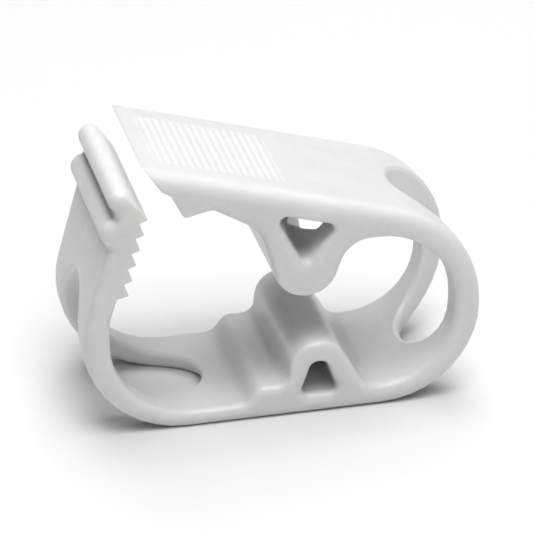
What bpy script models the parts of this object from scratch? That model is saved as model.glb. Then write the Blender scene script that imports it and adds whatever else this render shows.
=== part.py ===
"""Ratchet tube clamp, moulded in one piece of white plastic.

A flat strap is folded into a C: the floor, the hoop at the right and the arm that comes back
over it. The arm ends in a hook that snaps over the teeth of the latch post at the left. The
boss on the arm and the boss on the floor pinch the tube, which runs through the oval hole in
the hoop, between the bosses and out through the oval hole in the latch post.

X runs along the tube, Y across the strap and Z up. Lengths are in metres.
"""

import math

import bmesh
import bpy
from mathutils import Matrix, Vector
from mathutils.geometry import tessellate_polygon

# Strap and its two rounded ends
WIDTH = 0.0250
BASE_SPAN = 0.0302
END_RADIUS = 0.0150
SHOULDER_HEIGHT = 0.0283
SHOULDER_RADIUS = 0.0176

# Walls of the latch bay at the left and of the hoop at the right
BAY_FLOOR_WALL = 0.0025
BAY_SIDE_WALL = 0.0039
BAY_RADIUS = 0.0120
HOOP_FLOOR_WALL = 0.00335
HOOP_SIDE_WALL = 0.0043
HOOP_ROOF_WALL = 0.0048
HOOP_LOW_RADIUS = 0.0110
HOOP_ROOF_RADIUS = 0.0115

# Latch post and its teeth
POST_LEAN = math.radians(15.3)
POST_BEND_HEIGHT = 0.0186
POST_BEND_RADIUS = 0.0040
POST_WALL = 0.0050
RACK_HEIGHT = 0.0231
RACK_LEAN = math.radians(14.2)
RACK_FOOT = 1.36
TOOTH_COUNT = 6
TOOTH_PITCH = 0.00247
TOOTH_DEPTH = 0.00113
TOOTH_RISE = 0.00173
TOOTH_RADIUS = 0.00015

# Two round thumb ridges, one that forms the top of the latch head and one below it
RIDGE_RISE = 0.0030
RIDGE_RADIUS = 0.0017
RIDGE_SPACING = 0.0051
RIDGE_VALLEY_RADIUS = 0.0010
LOW_RIDGE_RADIUS = 0.0020
LOW_RIDGE_SINK = 0.0004
LOW_RIDGE_FOOT_RADIUS = 0.0013
HEAD_FLAT_SHARE = 0.6

# Arm and the hook at its tip, measured along the arm's top and square below it
TIP_OVERHANG = 0.0006
TIP_LIFT = 0.0078
CATCH_LENGTH = 0.0037
CATCH_DEPTH = 0.0029
CATCH_RADIUS = 0.0006
HOOK_SEAT_LENGTH = 0.0015
HOOK_SEAT_DEPTH = 0.0033
HEEL_LENGTH = 0.0080
HEEL_DEPTH = 0.0064
HEEL_RADIUS = 0.0009
HEEL_RUNOUT = 0.0021
HEEL_RUNOUT_DEPTH = 0.0054
HEEL_RUNOUT_RADIUS = 0.0015
ARM_WALL_START = 0.0122
ARM_WALL = 0.0047
ARM_ROOT_WALL = 0.0067

# Upper boss and its pocket
JAW_X = 0.0030
JAW_GAP = 0.0079
NOSE_LENGTH = 0.0067
NOSE_RADIUS = 0.0047
LEFT_LEG_LEAN = math.radians(16.7)
RIGHT_LEG_LEAN = math.radians(24.5)
LEG_FOOT_RADIUS = 0.0055
LEG_ROOF_RADIUS = 0.0048
POCKET_ROOF_WALL = 0.0037
POCKET_LEFT_REACH = 0.0048
POCKET_RIGHT_REACH = 0.0051
POCKET_NOSE_WALL = 0.0052
POCKET_RADIUS = 0.0010

# Lower boss, its pocket and the step at its foot
BOSS_X = 0.0045
BOSS_HEIGHT = 0.01175
BOSS_LENGTH = 0.0063
BOSS_RADIUS = 0.0040
BOSS_RIGHT_RUN = 0.0047
BOSS_FOOT_RADIUS = 0.0028
BOSS_LEFT_RUN = 0.0009
STEP_HEIGHT = 0.00515
STEP_LENGTH = 0.0045
STEP_TOE_RUN = 0.0019
STEP_INNER_RADIUS = 0.0018
STEP_OUTER_RADIUS = 0.0022
STEP_FOOT_RADIUS = 0.0026
BOSS_POCKET_FLOOR = 0.0030
BOSS_POCKET_ROOF_WALL = 0.0033
BOSS_POCKET_LENGTH = 0.0058
BOSS_POCKET_SHIFT = 0.00085
BOSS_POCKET_RADIUS = 0.0009
BOSS_POCKET_ROOF_LENGTH = 0.0023
BOSS_POCKET_ROOF_SHIFT = 0.00065
BOSS_POCKET_ROOF_RADIUS = 0.0014

# Window through the right leg of the upper boss, wider at its mouth in the hoop
WINDOW_HALF_LENGTH = 0.0076
WINDOW_RISE = 0.0005
WINDOW_END_LIFT = 0.0024
WINDOW_TOP = 0.0052
WINDOW_MOUTH_HALF_LENGTH = 0.0098
WINDOW_MOUTH_RISE = 0.0011
WINDOW_MOUTH_HEIGHT = 0.0045
WINDOW_SQUARENESS = 4.0

# Oval holes for the tube, each along an arc round the centre of its end
HOLE_HALF_WIDTH = 0.0078
HOLE_SQUARENESS = 2.3
HOOP_MOUTH_GROWTH = 0.0016
LATCH_MOUTH_GROWTH = 0.0001
HOLE_EDGE_RADIUS = 0.0010
HOOP_HOLE_START = math.radians(-62.0)
HOOP_HOLE_END = math.radians(71.0)
LATCH_HOLE_START = math.radians(156.0)
LATCH_HOLE_END = math.radians(290.0)

# Grip panel on the arm's top
GRIP_START = 0.0032
GRIP_HALF_WIDTH = 0.0078
GRIP_PITCH = 0.00120
GRIP_GROOVE_WIDTH = 0.00040
GRIP_GROOVE_DEPTH = 0.00018
GRIP_GROOVE_COUNT = 17

# Rounding of the strap's long edges at its two flat faces
TOP_RIM = 0.0022
BACK_RIM = 0.0019
BASE_RIM = 0.0014
INSIDE_RIM = 0.0015
BAY_RIM = 0.0010
RIDGE_RIM = 0.0015
BOSS_RIM = 0.0009
STEP_RIM = 0.0013
HOOK_RIM = 0.0005
TOOTH_RIM = 0.00012
POCKET_RIM = 0.0008
POCKET_NOSE_RIM = 0.0017
BOSS_POCKET_FLOOR_RIM = 0.0014

# Largest share of a wall that its roundings may take
RIM_SHARE = 0.95
TIP_RIM_SHARE = 0.90
HOLE_EDGE_SHARE = 0.40

# Fineness of the curved surfaces
ARC_STEP = math.radians(9.0)
SMALL_ARC_STEP = math.radians(30.0)
SMALL_ARC_RADIUS = 0.0005
RIM_STEPS = 4
HOLE_POINTS = 56
HOLE_EDGE_STEPS = 3
HOLE_EDGE_SWEEP = math.radians(72.0)
WINDOW_POINTS = 32
CUTTER_OVERRUN = 0.0015
SHARP_ANGLE = math.radians(35.0)
LONGEST_MITRE = 3.3
SAME_PLACE = 0.00002


def corner(place, radius, rim, next_rim=None):
    """One corner of an outline: its place in the XZ plane, its fillet and its edge rounding.

    The edge rounding changes along the fillet from the first value to the second.
    """
    last = rim if next_rim is None else next_rim
    return {"place": Vector(place), "radius": radius, "rim": rim, "next_rim": last}


def crossing(first, first_direction, second, second_direction):
    """Point where two lines of the XZ plane meet."""
    across = first_direction.x * second_direction.y - first_direction.y * second_direction.x
    gap = second - first
    along = (gap.x * second_direction.y - gap.y * second_direction.x) / across
    return first + first_direction * along


def fillet_tangents(corners):
    """Length of each corner's tangent, held back where two fillets share a short edge."""
    count = len(corners)
    wanted = []
    for index, item in enumerate(corners):
        before = (corners[index - 1]["place"] - item["place"]).normalized()
        after = (corners[(index + 1) % count]["place"] - item["place"]).normalized()
        half_angle = before.angle(after) / 2.0
        wanted.append(item["radius"] / math.tan(half_angle))
    kept = list(wanted)
    for index in range(count):
        follower = (index + 1) % count
        edge = (corners[follower]["place"] - corners[index]["place"]).length
        total = wanted[index] + wanted[follower]
        if total > edge:
            kept[index] = min(kept[index], wanted[index] * edge / total)
            kept[follower] = min(kept[follower], wanted[follower] * edge / total)
    return kept


def fillet_outline(corners):
    """Outline with every corner rounded, as points with the edge rounding before and after."""
    count = len(corners)
    tangents = fillet_tangents(corners)
    points = []
    for index, item in enumerate(corners):
        place = item["place"]
        tangent = tangents[index]
        if tangent < SAME_PLACE:
            points.append((place, item["rim"], item["next_rim"]))
            continue
        before = (corners[index - 1]["place"] - place).normalized()
        after = (corners[(index + 1) % count]["place"] - place).normalized()
        half_angle = before.angle(after) / 2.0
        radius = tangent * math.tan(half_angle)
        bisector = (before + after).normalized()
        centre = place + bisector * (radius / math.sin(half_angle))
        start = place + before * tangent - centre
        turn = math.pi - 2.0 * half_angle
        side = before.x * after.y - before.y * after.x
        direction = 1.0 if side < 0.0 else -1.0
        largest_step = SMALL_ARC_STEP if radius < SMALL_ARC_RADIUS else ARC_STEP
        steps = max(2, math.ceil(turn / largest_step))
        for step in range(steps + 1):
            swing = Matrix.Rotation(direction * turn * step / steps, 2)
            spot = centre + swing @ start
            rim = item["rim"] + (item["next_rim"] - item["rim"]) * step / steps
            if not points or (spot - points[-1][0]).length > SAME_PLACE:
                points.append((spot, rim, rim))
    if (points[0][0] - points[-1][0]).length < SAME_PLACE:
        points.pop()
    return points


def inward_shifts(points):
    """Shift of each point of an outline from the full outline to the rim of the flat face."""
    count = len(points)
    shifts = []
    for index, (place, rim, next_rim) in enumerate(points):
        before = (place - points[index - 1][0]).normalized()
        after = (points[(index + 1) % count][0] - place).normalized()
        first = Vector((-before.y, before.x))
        second = Vector((-after.y, after.x))
        if rim == next_rim:
            middle = (first + second).normalized()
            shifts.append(middle * (rim * min(1.0 / middle.dot(first), LONGEST_MITRE)))
        else:
            meeting = crossing(first * rim, before, second * next_rim, after)
            shifts.append(meeting)
    return shifts


def add_rounded_wall(mesh, points, half_width):
    """Wall of an extruded outline, with its two rims rounded, as rings from face to face."""
    shifts = inward_shifts(points)
    sections = []
    for step in range(RIM_STEPS, -1, -1):
        angle = 0.5 * math.pi * step / RIM_STEPS
        sections.append((-1.0, 1.0 - math.cos(angle), 1.0 - math.sin(angle)))
    for _, inset, drop in reversed(sections[:]):
        sections.append((1.0, inset, drop))
    rings = []
    for side, inset, drop in sections:
        ring = []
        for (place, rim, _), shift in zip(points, shifts):
            spot = place + shift * inset
            ring.append(mesh.verts.new((spot.x, side * (half_width - rim * drop), spot.y)))
        rings.append(ring)
    count = len(points)
    for front, back in zip(rings, rings[1:]):
        for index in range(count):
            follower = (index + 1) % count
            mesh.faces.new((front[index], front[follower], back[follower], back[index]))
    return rings[0], rings[-1]


def fill_face(mesh, rings):
    """Flat face between the rim of the outline and the rims of its pockets."""
    loops = []
    vertices = []
    for ring in rings:
        loops.append([Vector((vertex.co.x, vertex.co.z, 0.0)) for vertex in ring])
        vertices.extend(ring)
    for first, second, third in tessellate_polygon(loops):
        mesh.faces.new((vertices[first], vertices[second], vertices[third]))


def extruded_mesh(name, outline, holes, half_width):
    """Closed mesh of an outline with through pockets, extruded across the strap."""
    mesh = bmesh.new()
    fronts = []
    backs = []
    for points in [outline] + holes:
        front, back = add_rounded_wall(mesh, points, half_width)
        fronts.append(front)
        backs.append(back)
    fill_face(mesh, fronts)
    fill_face(mesh, backs)
    bmesh.ops.recalc_face_normals(mesh, faces=mesh.faces[:])
    return finish_mesh(name, mesh)


def finish_mesh(name, mesh):
    """Blender mesh made from a bmesh."""
    data = bpy.data.meshes.new(name)
    mesh.to_mesh(data)
    mesh.free()
    return data


def add_object(name, data):
    """Object that shows a mesh."""
    item = bpy.data.objects.new(name, data)
    bpy.context.scene.collection.objects.link(item)
    return item


def add_cutter(name, data):
    """Hidden object that only shapes the clamp."""
    item = add_object(name, data)
    item.display_type = "WIRE"
    item.hide_render = True
    return item


def combine(item, cutter, operation):
    """Boolean of one object with another."""
    modifier = item.modifiers.new(cutter.name, "BOOLEAN")
    modifier.operation = operation
    modifier.solver = "EXACT"
    modifier.object = cutter


def floor_share(wall):
    """Share of the edge roundings that a floor wall leaves room for."""
    return min(1.0, RIM_SHARE * wall / (BASE_RIM + INSIDE_RIM))


def post_back(height):
    """Point on the straight back of the latch post at a height."""
    angle = math.pi - POST_LEAN
    touch = Vector((-BASE_SPAN / 2.0, END_RADIUS)) + direction_at(angle) * END_RADIUS
    return Vector((touch.x + (height - touch.y) * math.tan(POST_LEAN), height))


def direction_at(angle):
    """Unit vector of the XZ plane at an angle above the X axis."""
    return Vector((math.cos(angle), math.sin(angle)))


def rack_tips():
    """Tips of the teeth, from the lowest up."""
    first = post_back(RACK_HEIGHT) + Vector((POST_WALL, 0.0))
    climb = Vector((math.sin(RACK_LEAN), math.cos(RACK_LEAN))) * TOOTH_PITCH
    return [first + climb * index for index in range(TOOTH_COUNT)]


def arm_frame():
    """Tip of the arm, the direction along its top and the direction square below it."""
    tip = rack_tips()[-1] + Vector((-TIP_OVERHANG, TIP_LIFT))
    shoulder = Vector((BASE_SPAN / 2.0 + END_RADIUS, SHOULDER_HEIGHT))
    along = (shoulder - tip).normalized()
    below = Vector((along.y, -along.x))
    return tip, along, below


def arm_top(x):
    """Height of the arm's top line at a place along the clamp."""
    tip, along, _ = arm_frame()
    return tip.y + (x - tip.x) * along.y / along.x


def tip_rim():
    """Rounding of the top's edge at the sharp tip, held back by the length of the catch."""
    catch = Vector((CATCH_LENGTH, CATCH_DEPTH))
    wedge = math.atan2(catch.y, catch.x)
    room = TIP_RIM_SHARE * catch.length * math.sin(wedge) - HOOK_RIM * math.cos(wedge)
    return min(TOP_RIM, room)


def outer_corners():
    """Outside of the strap, from the floor round the hoop to the tip of the arm."""
    left = post_back(0.0)
    right = BASE_SPAN / 2.0 + END_RADIUS
    tip, _, _ = arm_frame()
    return [
        corner(left, END_RADIUS, BACK_RIM, BASE_RIM * floor_share(BAY_FLOOR_WALL)),
        corner((right, 0.0), END_RADIUS, BASE_RIM * floor_share(HOOP_FLOOR_WALL), TOP_RIM),
        corner((right, SHOULDER_HEIGHT), SHOULDER_RADIUS, TOP_RIM),
        corner(tip, 0.0, tip_rim(), HOOK_RIM),
    ]


def hook_corners():
    """Underside of the arm from its tip: the catch, the seat, the heel and the plain arm."""
    tip, along, below = arm_frame()
    catch = tip + along * CATCH_LENGTH + below * CATCH_DEPTH
    seat = tip + along * (CATCH_LENGTH + HOOK_SEAT_LENGTH) + below * HOOK_SEAT_DEPTH
    heel = tip + along * HEEL_LENGTH + below * HEEL_DEPTH
    runout = tip + along * (HEEL_LENGTH + HEEL_RUNOUT) + below * HEEL_RUNOUT_DEPTH
    plain = tip + along * ARM_WALL_START + below * ARM_WALL
    return [
        corner(catch, CATCH_RADIUS, HOOK_RIM),
        corner(seat, CATCH_RADIUS, HOOK_RIM),
        corner(heel, HEEL_RADIUS, HOOK_RIM),
        corner(runout, HEEL_RUNOUT_RADIUS, BOSS_RIM),
        corner(plain, HEEL_RUNOUT_RADIUS, INSIDE_RIM),
    ]


def upper_boss_corners():
    """Upper boss: the foot of its left leg, its nose and the foot of its right leg."""
    tip, along, below = arm_frame()
    nose_height = BOSS_HEIGHT + JAW_GAP
    nose_left = Vector((JAW_X - NOSE_LENGTH / 2.0, nose_height))
    nose_right = Vector((JAW_X + NOSE_LENGTH / 2.0, nose_height))
    left_leg = Vector((-math.sin(LEFT_LEG_LEAN), math.cos(LEFT_LEG_LEAN)))
    right_leg = Vector((math.sin(RIGHT_LEG_LEAN), math.cos(RIGHT_LEG_LEAN)))
    left_foot = crossing(nose_left, left_leg, tip + below * ARM_ROOT_WALL, along)
    right_foot = crossing(nose_right, right_leg, Vector((0.0, hoop_roof())), Vector((1.0, 0.0)))
    return [
        corner(left_foot, LEG_FOOT_RADIUS, INSIDE_RIM),
        corner(nose_left, NOSE_RADIUS, BOSS_RIM),
        corner(nose_right, NOSE_RADIUS, BOSS_RIM),
        corner(right_foot, LEG_ROOF_RADIUS, INSIDE_RIM),
    ]


def hoop_roof():
    """Height of the ceiling inside the hoop."""
    return arm_top(BASE_SPAN / 2.0) - HOOP_ROOF_WALL


def hoop_corners():
    """Inside of the hoop, from its ceiling to its floor."""
    wall = BASE_SPAN / 2.0 + END_RADIUS - HOOP_SIDE_WALL
    floor_rim = INSIDE_RIM * floor_share(HOOP_FLOOR_WALL)
    return [
        corner((wall, hoop_roof()), HOOP_ROOF_RADIUS, INSIDE_RIM),
        corner((wall, HOOP_FLOOR_WALL), HOOP_LOW_RADIUS, INSIDE_RIM, floor_rim),
    ]


def lower_boss_corners():
    """Lower boss from the hoop's floor over its top to the step and the floor of the bay."""
    right = BOSS_X + BOSS_LENGTH / 2.0
    left = BOSS_X - BOSS_LENGTH / 2.0
    step_right = left - BOSS_LEFT_RUN
    step_left = step_right - STEP_LENGTH
    hoop_rim = INSIDE_RIM * floor_share(HOOP_FLOOR_WALL)
    bay_rim = INSIDE_RIM * floor_share(BAY_FLOOR_WALL)
    return [
        corner((right + BOSS_RIGHT_RUN, HOOP_FLOOR_WALL), BOSS_FOOT_RADIUS, hoop_rim, BOSS_RIM),
        corner((right, BOSS_HEIGHT), BOSS_RADIUS, BOSS_RIM),
        corner((left, BOSS_HEIGHT), BOSS_RADIUS, BOSS_RIM),
        corner((step_right, STEP_HEIGHT), STEP_INNER_RADIUS, BOSS_RIM, STEP_RIM),
        corner((step_left, STEP_HEIGHT), STEP_OUTER_RADIUS, STEP_RIM),
        corner((step_left - STEP_TOE_RUN, BAY_FLOOR_WALL), STEP_FOOT_RADIUS, STEP_RIM, bay_rim),
    ]


def latch_corners():
    """Inside of the latch bay and the six teeth of the latch post."""
    wall = -BASE_SPAN / 2.0 - END_RADIUS + BAY_SIDE_WALL
    tips = rack_tips()
    climb = Vector((math.sin(RACK_LEAN), math.cos(RACK_LEAN)))
    inward = Vector((-climb.y, climb.x))
    root = climb * TOOTH_RISE + inward * TOOTH_DEPTH
    flank = climb * TOOTH_PITCH - root
    bay_rim = INSIDE_RIM * floor_share(BAY_FLOOR_WALL)
    corners = [
        corner((wall, BAY_FLOOR_WALL), BAY_RADIUS, bay_rim, BAY_RIM),
        corner((wall, POST_BEND_HEIGHT), POST_BEND_RADIUS, BAY_RIM),
        corner(tips[0] - flank * RACK_FOOT, TOOTH_RADIUS, HOOK_RIM),
    ]
    for place in tips[:-1]:
        corners.append(corner(place, TOOTH_RADIUS, TOOTH_RIM))
        corners.append(corner(place + root, TOOTH_RADIUS, TOOTH_RIM))
    corners.append(corner(tips[-1], TOOTH_RADIUS, TOOTH_RIM))
    return corners


def roll_corners(centre, radius, first, last, rim):
    """Corners that round a roll between the angles of two of its spokes."""
    count = max(1, math.ceil((last - first) / (0.5 * math.pi)))
    half = (last - first) / count / 2.0
    corners = []
    for index in range(count):
        spoke = direction_at(first + half * (2 * index + 1))
        corners.append(corner(centre + spoke * (radius / math.cos(half)), radius, rim))
    return corners


def tangent_meeting(centre, radius, angle, other_centre, other_radius, other_angle):
    """Point where the tangents at the ends of two spokes meet."""
    touch = centre + direction_at(angle) * radius
    other_touch = other_centre + direction_at(other_angle) * other_radius
    quarter = 0.5 * math.pi
    return crossing(touch, direction_at(angle + quarter), other_touch, direction_at(other_angle + quarter))


def head_corners():
    """Head of the latch post: the upper ridge, the valley, the lower ridge and its foot."""
    tip = rack_tips()[-1]
    back = math.pi - POST_LEAN
    climb = Vector((math.sin(POST_LEAN), math.cos(POST_LEAN)))
    upper = post_back(tip.y + RIDGE_RISE)
    lower = upper - climb * RIDGE_SPACING - direction_at(back) * LOW_RIDGE_SINK
    to_tip = tip - upper
    first = math.atan2(to_tip.y, to_tip.x) + math.acos(RIDGE_RADIUS / to_tip.length)
    gap = upper - lower
    gap_angle = math.atan2(gap.y, gap.x)
    upper_reach = RIDGE_RADIUS + RIDGE_VALLEY_RADIUS
    lower_reach = LOW_RIDGE_RADIUS + RIDGE_VALLEY_RADIUS
    run = (gap.length_squared + lower_reach ** 2 - upper_reach ** 2) / (2.0 * gap.length)
    lower_first = gap_angle + math.acos(run / lower_reach)
    valley = lower + direction_at(lower_first) * lower_reach - upper
    upper_last = math.atan2(valley.y, valley.x) % (2.0 * math.pi)
    foot_reach = LOW_RIDGE_RADIUS + LOW_RIDGE_FOOT_RADIUS
    lower_last = back + math.acos((LOW_RIDGE_FOOT_RADIUS + LOW_RIDGE_SINK) / foot_reach)
    valley_place = tangent_meeting(
        upper, RIDGE_RADIUS, upper_last, lower, LOW_RIDGE_RADIUS, lower_first)
    foot_place = crossing(
        lower + direction_at(lower_last) * LOW_RIDGE_RADIUS,
        direction_at(lower_last + 0.5 * math.pi), post_back(0.0), climb)
    touch = upper + direction_at(first) * RIDGE_RADIUS
    corners = [corner(tip.lerp(touch, HEAD_FLAT_SHARE), 0.0, HOOK_RIM)]
    corners += roll_corners(upper, RIDGE_RADIUS, first, upper_last, RIDGE_RIM)
    corners.append(corner(valley_place, RIDGE_VALLEY_RADIUS, RIDGE_RIM))
    corners += roll_corners(lower, LOW_RIDGE_RADIUS, lower_first, lower_last, RIDGE_RIM)
    corners.append(corner(foot_place, LOW_RIDGE_FOOT_RADIUS, RIDGE_RIM, BACK_RIM))
    return corners


def upper_pocket_corners():
    """Pocket between the legs of the upper boss."""
    tip, along, below = arm_frame()
    roof = tip + below * POCKET_ROOF_WALL
    upright = Vector((0.0, 1.0))
    left = crossing(roof, along, Vector((JAW_X - POCKET_LEFT_REACH, 0.0)), upright)
    right = crossing(roof, along, Vector((JAW_X + POCKET_RIGHT_REACH, 0.0)), upright)
    bottom = Vector((JAW_X, BOSS_HEIGHT + JAW_GAP + POCKET_NOSE_WALL))
    return [
        corner(left, POCKET_RADIUS, POCKET_RIM),
        corner(right, POCKET_RADIUS, POCKET_RIM),
        corner(bottom, POCKET_RADIUS, POCKET_NOSE_RIM),
    ]


def lower_pocket_corners():
    """Pocket in the lower boss."""
    middle = BOSS_X + BOSS_POCKET_SHIFT
    roof_middle = BOSS_X + BOSS_POCKET_ROOF_SHIFT
    roof = BOSS_HEIGHT - BOSS_POCKET_ROOF_WALL
    half = BOSS_POCKET_LENGTH / 2.0
    roof_half = BOSS_POCKET_ROOF_LENGTH / 2.0
    floor_rim = min(BOSS_POCKET_FLOOR_RIM, RIM_SHARE * BOSS_POCKET_FLOOR - BASE_RIM)
    return [
        corner((roof_middle - roof_half, roof), BOSS_POCKET_ROOF_RADIUS, POCKET_RIM),
        corner((roof_middle + roof_half, roof), BOSS_POCKET_ROOF_RADIUS, POCKET_RIM),
        corner((middle + half, BOSS_POCKET_FLOOR), BOSS_POCKET_RADIUS, floor_rim),
        corner((middle - half, BOSS_POCKET_FLOOR), BOSS_POCKET_RADIUS, floor_rim),
    ]


def strap_outline():
    """Whole outline of the clamp, anticlockwise with X to the right and Z up."""
    corners = outer_corners() + hook_corners() + upper_boss_corners()
    corners += hoop_corners() + lower_boss_corners() + latch_corners() + head_corners()
    return fillet_outline(corners)


def wall_distances(outline, centre, angle):
    """Distances from a centre to the near and the far side of the strap's wall."""
    ray = direction_at(angle)
    hits = []
    count = len(outline)
    for index in range(count):
        first = outline[index][0] - centre
        second = outline[(index + 1) % count][0] - centre
        first_side = ray.x * first.y - ray.y * first.x
        second_side = ray.x * second.y - ray.y * second.x
        if (first_side > 0.0) == (second_side > 0.0):
            continue
        share = first_side / (first_side - second_side)
        distance = (first + (second - first) * share).dot(ray)
        if distance > 0.0:
            hits.append(distance)
    hits.sort()
    return hits[0], hits[1]


def oval_point(turn, squareness):
    """Point of an oval that is one long and one wide each way from its centre."""
    power = 2.0 / squareness
    run = math.copysign(abs(math.cos(turn)) ** power, math.cos(turn))
    rise = math.copysign(abs(math.sin(turn)) ** power, math.sin(turn))
    return run, rise


def hole_levels(edge_radius):
    """Flare of the hole's edge as pairs: how far it opens and how deep it lies in the wall."""
    levels = []
    for step in range(HOLE_EDGE_STEPS + 1):
        angle = HOLE_EDGE_SWEEP * step / HOLE_EDGE_STEPS
        levels.append((edge_radius * (1.0 - math.cos(angle)), edge_radius * (1.0 - math.sin(angle))))
    return levels


def tube_hole_mesh(name, outline, centre_x, start, end, mouth_growth):
    """Cutter for an oval tube hole that follows the bend of the wall."""
    centre = Vector((centre_x, END_RADIUS))
    middle = (start + end) / 2.0
    half_angle = (end - start) / 2.0
    thinnest = min(BAY_FLOOR_WALL, HOOP_FLOOR_WALL)
    levels = hole_levels(min(HOLE_EDGE_RADIUS, HOLE_EDGE_SHARE * thinnest))
    mesh = bmesh.new()
    rings = []
    plan = [("outer", levels[-1][0], -CUTTER_OVERRUN)]
    plan += [("outer", flare, depth) for flare, depth in reversed(levels)]
    plan += [("inner", flare, depth) for flare, depth in levels]
    plan += [("inner", levels[-1][0], -CUTTER_OVERRUN)]
    for side, flare, depth in plan:
        opening = flare + (mouth_growth if side == "outer" else 0.0)
        ring = []
        for index in range(HOLE_POINTS):
            turn = 2.0 * math.pi * index / HOLE_POINTS
            run, rise = oval_point(turn, HOLE_SQUARENESS)
            opened = half_angle * run + opening * math.cos(turn) / END_RADIUS
            across = HOLE_HALF_WIDTH * rise + opening * math.sin(turn)
            inner, outer = wall_distances(outline, centre, middle + opened)
            reach = outer - depth if side == "outer" else inner + depth
            spot = centre + direction_at(middle + opened) * reach
            ring.append(mesh.verts.new((spot.x, across, spot.y)))
        rings.append(ring)
    for first, second in zip(rings, rings[1:]):
        for index in range(HOLE_POINTS):
            follower = (index + 1) % HOLE_POINTS
            mesh.faces.new((first[index], first[follower], second[follower], second[index]))
    for ring in (rings[0], rings[-1]):
        for index in range(HOLE_POINTS // 2):
            mirror = (HOLE_POINTS - index) % HOLE_POINTS
            corners = [ring[index], ring[index + 1], ring[mirror - 1], ring[mirror]]
            mesh.faces.new(list(dict.fromkeys(corners)))
    bmesh.ops.recalc_face_normals(mesh, faces=mesh.faces[:])
    return finish_mesh(name, mesh)


def window_mesh(name):
    """Cutter for the window from the upper boss's pocket into the hoop."""
    pocket = upper_pocket_corners()
    boss = upper_boss_corners()
    bottom = pocket[2]["place"]
    climb = pocket[1]["place"] - bottom
    nose = boss[2]["place"]
    leg = boss[3]["place"] - nose
    mesh = bmesh.new()
    ends = ([], [])
    for index in range(WINDOW_POINTS):
        run, rise = oval_point(2.0 * math.pi * index / WINDOW_POINTS, WINDOW_SQUARENESS)
        share = 0.5 + 0.5 * rise
        lowest = WINDOW_RISE + WINDOW_END_LIFT * abs(run)
        height = lowest + (WINDOW_TOP - lowest) * share
        spot = bottom + climb * (height / climb.y)
        inner = Vector((spot.x, WINDOW_HALF_LENGTH * run, spot.y))
        spot = nose + leg * ((WINDOW_MOUTH_RISE + WINDOW_MOUTH_HEIGHT * share) / leg.y)
        mouth = Vector((spot.x, WINDOW_MOUTH_HALF_LENGTH * run, spot.y))
        overrun = (mouth - inner).normalized() * CUTTER_OVERRUN
        ends[0].append(mesh.verts.new(inner - overrun))
        ends[1].append(mesh.verts.new(mouth + overrun))
    for index in range(WINDOW_POINTS):
        follower = (index + 1) % WINDOW_POINTS
        mesh.faces.new((ends[0][index], ends[0][follower], ends[1][follower], ends[1][index]))
    for ring in ends:
        for index in range(WINDOW_POINTS // 2):
            mirror = (WINDOW_POINTS - index) % WINDOW_POINTS
            corners = [ring[index], ring[index + 1], ring[mirror - 1], ring[mirror]]
            mesh.faces.new(list(dict.fromkeys(corners)))
    bmesh.ops.recalc_face_normals(mesh, faces=mesh.faces[:])
    return finish_mesh(name, mesh)


def groove_mesh(name):
    """Cutter for the shallow grooves between the ribs of the grip panel."""
    tip, along, below = arm_frame()
    mesh = bmesh.new()
    slope = Matrix.Rotation(-math.atan2(along.y, along.x), 4, "Y")
    for index in range(GRIP_GROOVE_COUNT):
        place = tip + along * (GRIP_START + index * GRIP_PITCH)
        size = Matrix.Diagonal((GRIP_GROOVE_WIDTH, 2.0 * GRIP_HALF_WIDTH, 2.0 * GRIP_GROOVE_DEPTH, 1.0))
        bmesh.ops.create_cube(mesh, matrix=Matrix.Translation((place.x, 0.0, place.y)) @ slope @ size)
    return finish_mesh(name, mesh)


def white_plastic():
    """Natural white moulded plastic."""
    material = bpy.data.materials.new("white_plastic")
    material.use_nodes = True
    shader = material.node_tree.nodes["Principled BSDF"]
    shader.inputs["Base Color"].default_value = (0.83, 0.83, 0.82, 1.0)
    shader.inputs["Roughness"].default_value = 0.38
    shader.inputs["Metallic"].default_value = 0.0
    material.diffuse_color = (0.83, 0.83, 0.82, 1.0)
    return material


def tube_clamp():
    """The whole clamp as one moulding."""
    outline = strap_outline()
    pockets = [fillet_outline(upper_pocket_corners()), fillet_outline(lower_pocket_corners())]
    body = extruded_mesh("tube_clamp", outline, pockets, WIDTH / 2.0)
    body.materials.append(white_plastic())
    clamp = add_object("tube_clamp", body)
    half_span = BASE_SPAN / 2.0
    hoop = tube_hole_mesh(
        "hoop_hole", outline, half_span, HOOP_HOLE_START, HOOP_HOLE_END, HOOP_MOUTH_GROWTH)
    combine(clamp, add_cutter("hoop_hole", hoop), "DIFFERENCE")
    latch = tube_hole_mesh(
        "latch_hole", outline, -half_span, LATCH_HOLE_START, LATCH_HOLE_END, LATCH_MOUTH_GROWTH)
    combine(clamp, add_cutter("latch_hole", latch), "DIFFERENCE")
    combine(clamp, add_cutter("window", window_mesh("window")), "DIFFERENCE")
    combine(clamp, add_cutter("grip_grooves", groove_mesh("grip_grooves")), "DIFFERENCE")
    body.shade_smooth()
    body.set_sharp_from_angle(angle=SHARP_ANGLE)
    return clamp


def main():
    """Empties the scene and builds the clamp."""
    for item in list(bpy.data.objects):
        bpy.data.objects.remove(item)
    tube_clamp()


main()
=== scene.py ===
import math

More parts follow.
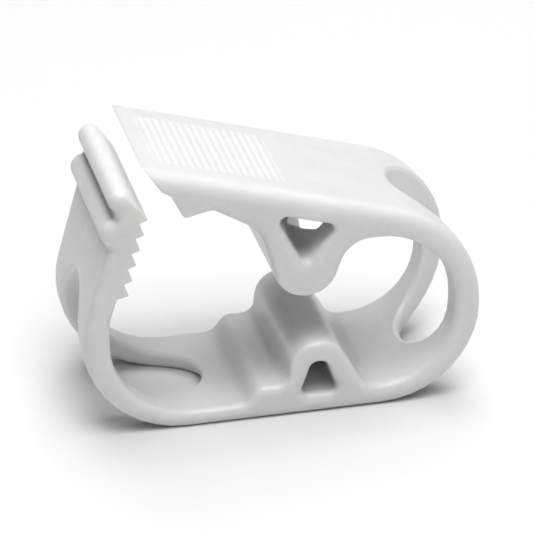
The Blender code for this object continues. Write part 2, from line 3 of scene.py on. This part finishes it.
import bpy
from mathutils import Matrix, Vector


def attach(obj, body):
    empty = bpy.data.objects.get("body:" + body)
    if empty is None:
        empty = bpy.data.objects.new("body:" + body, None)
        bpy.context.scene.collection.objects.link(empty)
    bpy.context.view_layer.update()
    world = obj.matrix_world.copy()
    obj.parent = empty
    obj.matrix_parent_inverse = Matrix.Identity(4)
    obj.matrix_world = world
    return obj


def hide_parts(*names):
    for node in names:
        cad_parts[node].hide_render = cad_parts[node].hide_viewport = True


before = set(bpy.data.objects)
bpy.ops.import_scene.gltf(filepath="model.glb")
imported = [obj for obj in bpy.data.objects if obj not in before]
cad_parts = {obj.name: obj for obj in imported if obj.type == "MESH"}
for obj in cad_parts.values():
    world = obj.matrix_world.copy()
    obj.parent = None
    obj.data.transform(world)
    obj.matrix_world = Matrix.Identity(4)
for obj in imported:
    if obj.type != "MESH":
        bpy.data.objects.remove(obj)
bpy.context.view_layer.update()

# Camera, as the photograph was taken
VIEW_AZIMUTH = math.radians(-13.3)
VIEW_ELEVATION = math.radians(27.6)
VIEW_DISTANCE = 0.600
VIEW_TARGET = Vector((0.0, 0.0, 0.0188))
LENS = 271.5
SENSOR = 36.0
NEAREST_SEEN = 0.01

# Studio: a pale floor under soft lights, each with its bearing from the front, its height
# angle, its size and its power
FLOOR_SIZE = 6.0
FLOOR_TONE = 0.74
FLOOR_ROUGHNESS = 0.9
LIGHT_DISTANCE = 0.95
LIGHTS = {
    "key": (0.0, 68.0, 0.5, 4.5),
    "fill": (0.0, 30.0, 0.5, 0.7),
    "overhead": (0.0, 89.0, 0.6, 5.9),
    "back": (175.0, 60.0, 0.6, 3.6),
    "side": (90.0, 45.0, 0.5, 0.7),
}
SURROUND_COLOUR = (1.0, 1.0, 1.0, 1.0)
SURROUND_STRENGTH = 0.01

# Joining and shading of the moulding's faces
MERGE_DISTANCE = 0.000002
SHARP_ANGLE = math.radians(32.0)

# Arm's top: its tip, the direction along it, and the grip panel of fine ribs near the tip
ARM_TIP = Vector((-0.02101, 0.0, 0.04287))
ARM_LEAN = math.radians(-15.915)
ARM_ALONG = Vector((math.cos(ARM_LEAN), 0.0, math.sin(ARM_LEAN)))
ARM_UP = Vector((-math.sin(ARM_LEAN), 0.0, math.cos(ARM_LEAN)))
GRIP_START = 0.0026
GRIP_PITCH = 0.00120
GRIP_COUNT = 17
GRIP_LENGTH = GRIP_COUNT * GRIP_PITCH
GRIP_HALF_WIDTH = 0.0081
GRIP_DEPTH = 0.0006
GRIP_FADE = 0.0003
GRIP_SOFTENING = 0.00014
GROOVE_END_SLACK = 0.0001
GROOVE_LEAST_DEPTH = 0.00005
GROOVE_MOST_DEPTH = 0.0003
RIB_HEIGHT = 2.6
# Painted highlight: the base colour is lighter along each rib's crest and darker between the ribs,
# standing in for light and shade on the ribs.
RIB_PAINTED_HIGHLIGHT = 0.6

# White plastic, with the marks that moulding leaves: each noise has its scale per metre, its
# detail and its roughness
PLASTIC_BRIGHT = (0.770, 0.770, 0.769, 1.0)
PLASTIC_DULL = (0.640, 0.641, 0.641, 1.0)
FLOW_STRETCH = (1.0, 2.6, 1.0)
FLOW_NOISE = (95.0, 2.0, 0.5)
FLOW_SHARE = 0.4
FLOW_HEIGHT = 3.0
CLOUD_NOISE = (700.0, 4.0, 0.6)
CLOUD_SHARE = 0.6
CLOUD_HEIGHT = 2.0
GRAIN_NOISE = (3200.0, 3.0, 0.6)
ROUGHNESS_LOW = 0.27
ROUGHNESS_HIGH = 0.40
BUMP_STRENGTH = 0.35
BUMP_DISTANCE = 0.00003
PLASTIC_IOR = 1.50
GLOW_WEIGHT = 0.5
GLOW_SCALE = 0.0028
GLOW_RADIUS = (1.0, 1.0, 0.9)


class Value:
    """Output of a material's node, with arithmetic that adds further nodes."""

    def __init__(self, shader, socket):
        self.shader = shader
        self.socket = socket

    def combine(self, operation, first, second):
        return self.shader.node("ShaderNodeMath", {"operation": operation}, {0: first, 1: second})

    def __add__(self, other):
        return self.combine("ADD", self, other)

    def __radd__(self, other):
        return self.combine("ADD", other, self)

    def __sub__(self, other):
        return self.combine("SUBTRACT", self, other)

    def __rsub__(self, other):
        return self.combine("SUBTRACT", other, self)

    def __mul__(self, other):
        return self.combine("MULTIPLY", self, other)

    def __rmul__(self, other):
        return self.combine("MULTIPLY", other, self)


class Shader:
    """Node tree of a material, filled one node at a time."""

    def __init__(self, name):
        self.material = bpy.data.materials.new(name)
        self.material.use_nodes = True
        self.tree = self.material.node_tree
        self.surface = self.tree.nodes["Principled BSDF"]

    def put(self, target, value):
        """Sets an input to a constant or to another node's output."""
        if isinstance(value, Value):
            self.tree.links.new(value.socket, target)
        else:
            target.default_value = value

    def node(self, kind, settings, inputs, output=0):
        """Adds a node: first its settings, then its inputs."""
        item = self.tree.nodes.new(kind)
        for name, value in settings.items():
            setattr(item, name, value)
        for name, value in inputs.items():
            self.put(item.inputs[name], value)
        return Value(self, item.outputs[output])

    def axes(self, place):
        """Splits a place into its x, y and z."""
        x = self.node("ShaderNodeSeparateXYZ", {}, {0: place}, "X")
        outputs = x.socket.node.outputs
        return x, Value(self, outputs["Y"]), Value(self, outputs["Z"])


def view_direction(azimuth, elevation):
    """Direction from the clamp towards a viewer."""
    flat = math.cos(elevation)
    return Vector((math.sin(azimuth) * flat, -math.cos(azimuth) * flat, math.sin(elevation)))


def aim(item, place, target):
    """Puts a camera or a light at a place and turns it to a target."""
    item.location = place
    item.rotation_euler = (target - place).to_track_quat("-Z", "Y").to_euler()


def set_camera():
    """Camera where the photograph was taken from."""
    data = bpy.data.cameras.new("camera")
    data.lens = LENS
    data.sensor_width = SENSOR
    data.clip_start = NEAREST_SEEN
    item = bpy.data.objects.new("camera", data)
    bpy.context.scene.collection.objects.link(item)
    aim(item, VIEW_TARGET + view_direction(VIEW_AZIMUTH, VIEW_ELEVATION) * VIEW_DISTANCE, VIEW_TARGET)
    bpy.context.scene.camera = item


def add_light(name, bearing, height, size, power):
    """Square soft light aimed at the clamp."""
    data = bpy.data.lights.new(name, "AREA")
    data.size = size
    data.energy = power
    item = bpy.data.objects.new(name, data)
    bpy.context.scene.collection.objects.link(item)
    direction = view_direction(math.radians(bearing), math.radians(height))
    aim(item, VIEW_TARGET + direction * LIGHT_DISTANCE, VIEW_TARGET)


def set_light():
    """Soft lights from the front, overhead, the back and the right."""
    for name, values in LIGHTS.items():
        add_light(name, *values)
    world = bpy.data.worlds.new("surround")
    world.use_nodes = True
    background = world.node_tree.nodes["Background"].inputs
    background["Color"].default_value = SURROUND_COLOUR
    background["Strength"].default_value = SURROUND_STRENGTH
    bpy.context.scene.world = world
    bpy.context.scene.view_settings.view_transform = "Standard"


def set_floor():
    """Plain pale floor."""
    bpy.ops.mesh.primitive_plane_add(size=FLOOR_SIZE, location=(0.0, 0.0, 0.0))
    floor = bpy.context.active_object
    floor.name = "floor"
    paint = Shader("pale_floor")
    paint.put(paint.surface.inputs["Base Color"], (FLOOR_TONE, FLOOR_TONE, FLOOR_TONE, 1.0))
    paint.put(paint.surface.inputs["Roughness"], FLOOR_ROUGHNESS)
    floor.data.materials.append(paint.material)


def noise(shader, place, scale, detail, roughness):
    """Noise from 0 to 1 at a scale per metre."""
    return shader.node(
        "ShaderNodeTexNoise", {"noise_dimensions": "3D"},
        {"Vector": place, "Scale": scale, "Detail": detail, "Roughness": roughness})


def ramp(shader, value, start, end):
    """Smooth step from 0 at one value to 1 at another."""
    return shader.node(
        "ShaderNodeMapRange", {"interpolation_type": "SMOOTHSTEP"},
        {"Value": value, "From Min": start, "From Max": end})


def grip_ribs(shader, place):
    """Round ribs of the grip panel: 1 along each rib, 0 between the ribs and off the panel."""
    x, y, z = shader.axes(place)
    along = (x - ARM_TIP.x) * ARM_ALONG.x + (z - ARM_TIP.z) * ARM_ALONG.z
    above = (x - ARM_TIP.x) * ARM_UP.x + (z - ARM_TIP.z) * ARM_UP.z
    from_start = along - GRIP_START
    side = shader.node("ShaderNodeMath", {"operation": "ABSOLUTE"}, {0: y})
    panel = ramp(shader, from_start, 0.0, GRIP_FADE)
    panel = panel * ramp(shader, from_start, GRIP_LENGTH, GRIP_LENGTH - GRIP_FADE)
    panel = panel * ramp(shader, side, GRIP_HALF_WIDTH, GRIP_HALF_WIDTH - GRIP_FADE)
    panel = panel * ramp(shader, above, -GRIP_DEPTH, -0.5 * GRIP_DEPTH)
    turns = from_start * (math.tau / GRIP_PITCH)
    wave = shader.node("ShaderNodeMath", {"operation": "COSINE"}, {0: turns})
    return panel * (0.5 + 0.5 * wave)


def white_plastic():
    """White moulded plastic: faint flow marks and clouding, a fine satin grain, and the grip's ribs
    bumped round with a painted highlight along their crests.
    """
    plastic = Shader("white_plastic_moulded")
    place = plastic.node("ShaderNodeTexCoord", {}, {}, "Object")
    stretched = plastic.node(
        "ShaderNodeVectorMath", {"operation": "MULTIPLY"}, {0: place, 1: FLOW_STRETCH})
    flow = noise(plastic, stretched, *FLOW_NOISE)
    cloud = noise(plastic, place, *CLOUD_NOISE)
    grain = noise(plastic, place, *GRAIN_NOISE)
    ribs = grip_ribs(plastic, place)
    # Ribs lighten the base colour along their crests: a painted highlight on the ribs, with painted
    # shade between them; flow and cloud are random tone.
    shade = flow * FLOW_SHARE + cloud * CLOUD_SHARE + ribs * RIB_PAINTED_HIGHLIGHT
    colour = plastic.node(
        "ShaderNodeMix", {"data_type": "RGBA"},
        {"Factor": shade, "A": PLASTIC_DULL, "B": PLASTIC_BRIGHT}, 2)
    polish = shade * 0.5 + grain * 0.5
    height = grain + cloud * CLOUD_HEIGHT + flow * FLOW_HEIGHT + ribs * RIB_HEIGHT
    bumped = plastic.node(
        "ShaderNodeBump", {}, {"Strength": BUMP_STRENGTH, "Distance": BUMP_DISTANCE, "Height": height})
    surface = plastic.surface.inputs
    plastic.put(surface["Base Color"], colour)
    plastic.put(surface["Roughness"], ROUGHNESS_LOW + (ROUGHNESS_HIGH - ROUGHNESS_LOW) * polish)
    plastic.put(surface["Normal"], bumped)
    plastic.put(surface["IOR"], PLASTIC_IOR)
    plastic.put(surface["Subsurface Weight"], GLOW_WEIGHT)
    plastic.put(surface["Subsurface Radius"], GLOW_RADIUS)
    plastic.put(surface["Subsurface Scale"], GLOW_SCALE)
    return plastic.material


def soften_grooves(clamp):
    """Raises the floors of the grip's moulded grooves, whose ribs the material rounds with a bump and
    a painted highlight.
    """
    for vertex in clamp.data.vertices:
        from_tip = vertex.co - ARM_TIP
        from_start = from_tip.dot(ARM_ALONG) - GRIP_START
        depth = -from_tip.dot(ARM_UP)
        in_length = 0.0 < from_start < GRIP_LENGTH
        in_width = abs(vertex.co.y) < GRIP_HALF_WIDTH + GROOVE_END_SLACK
        in_groove = GROOVE_LEAST_DEPTH < depth < GROOVE_MOST_DEPTH
        vertex.select = in_length and in_width and in_groove
    for edge in clamp.data.edges:
        edge.select = False
    for face in clamp.data.polygons:
        face.select = False
    bpy.ops.object.mode_set(mode="EDIT")
    bpy.ops.mesh.select_mode(type="VERT")
    bpy.ops.transform.translate(value=ARM_UP * GRIP_SOFTENING)
    bpy.ops.object.mode_set(mode="OBJECT")


def smooth_clamp():
    """The moulding with its loose faces joined and its bends and edges shaded round."""
    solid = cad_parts["tube_clamp"]
    bpy.ops.object.select_all(action="DESELECT")
    clamp = bpy.data.objects.new("clamp_moulding", solid.data.copy())
    bpy.context.scene.collection.objects.link(clamp)
    bpy.context.view_layer.objects.active = clamp
    clamp.select_set(True)
    if clamp.data.has_custom_normals:
        bpy.ops.mesh.customdata_custom_splitnormals_clear()
    bpy.ops.object.mode_set(mode="EDIT")
    bpy.ops.mesh.select_all(action="SELECT")
    bpy.ops.mesh.remove_doubles(threshold=MERGE_DISTANCE)
    bpy.ops.mesh.normals_make_consistent(inside=False)
    bpy.ops.object.mode_set(mode="OBJECT")
    soften_grooves(clamp)
    bpy.ops.object.shade_smooth_by_angle(angle=SHARP_ANGLE)
    weights = clamp.modifiers.new("even_normals", "WEIGHTED_NORMAL")
    weights.mode = "FACE_AREA_WITH_ANGLE"
    weights.keep_sharp = True
    bpy.ops.object.modifier_apply(modifier=weights.name)
    clamp.data.materials.clear()
    clamp.data.materials.append(white_plastic())
    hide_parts("tube_clamp")
    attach(clamp, "root")


set_camera()
set_floor()
set_light()
smooth_clamp()
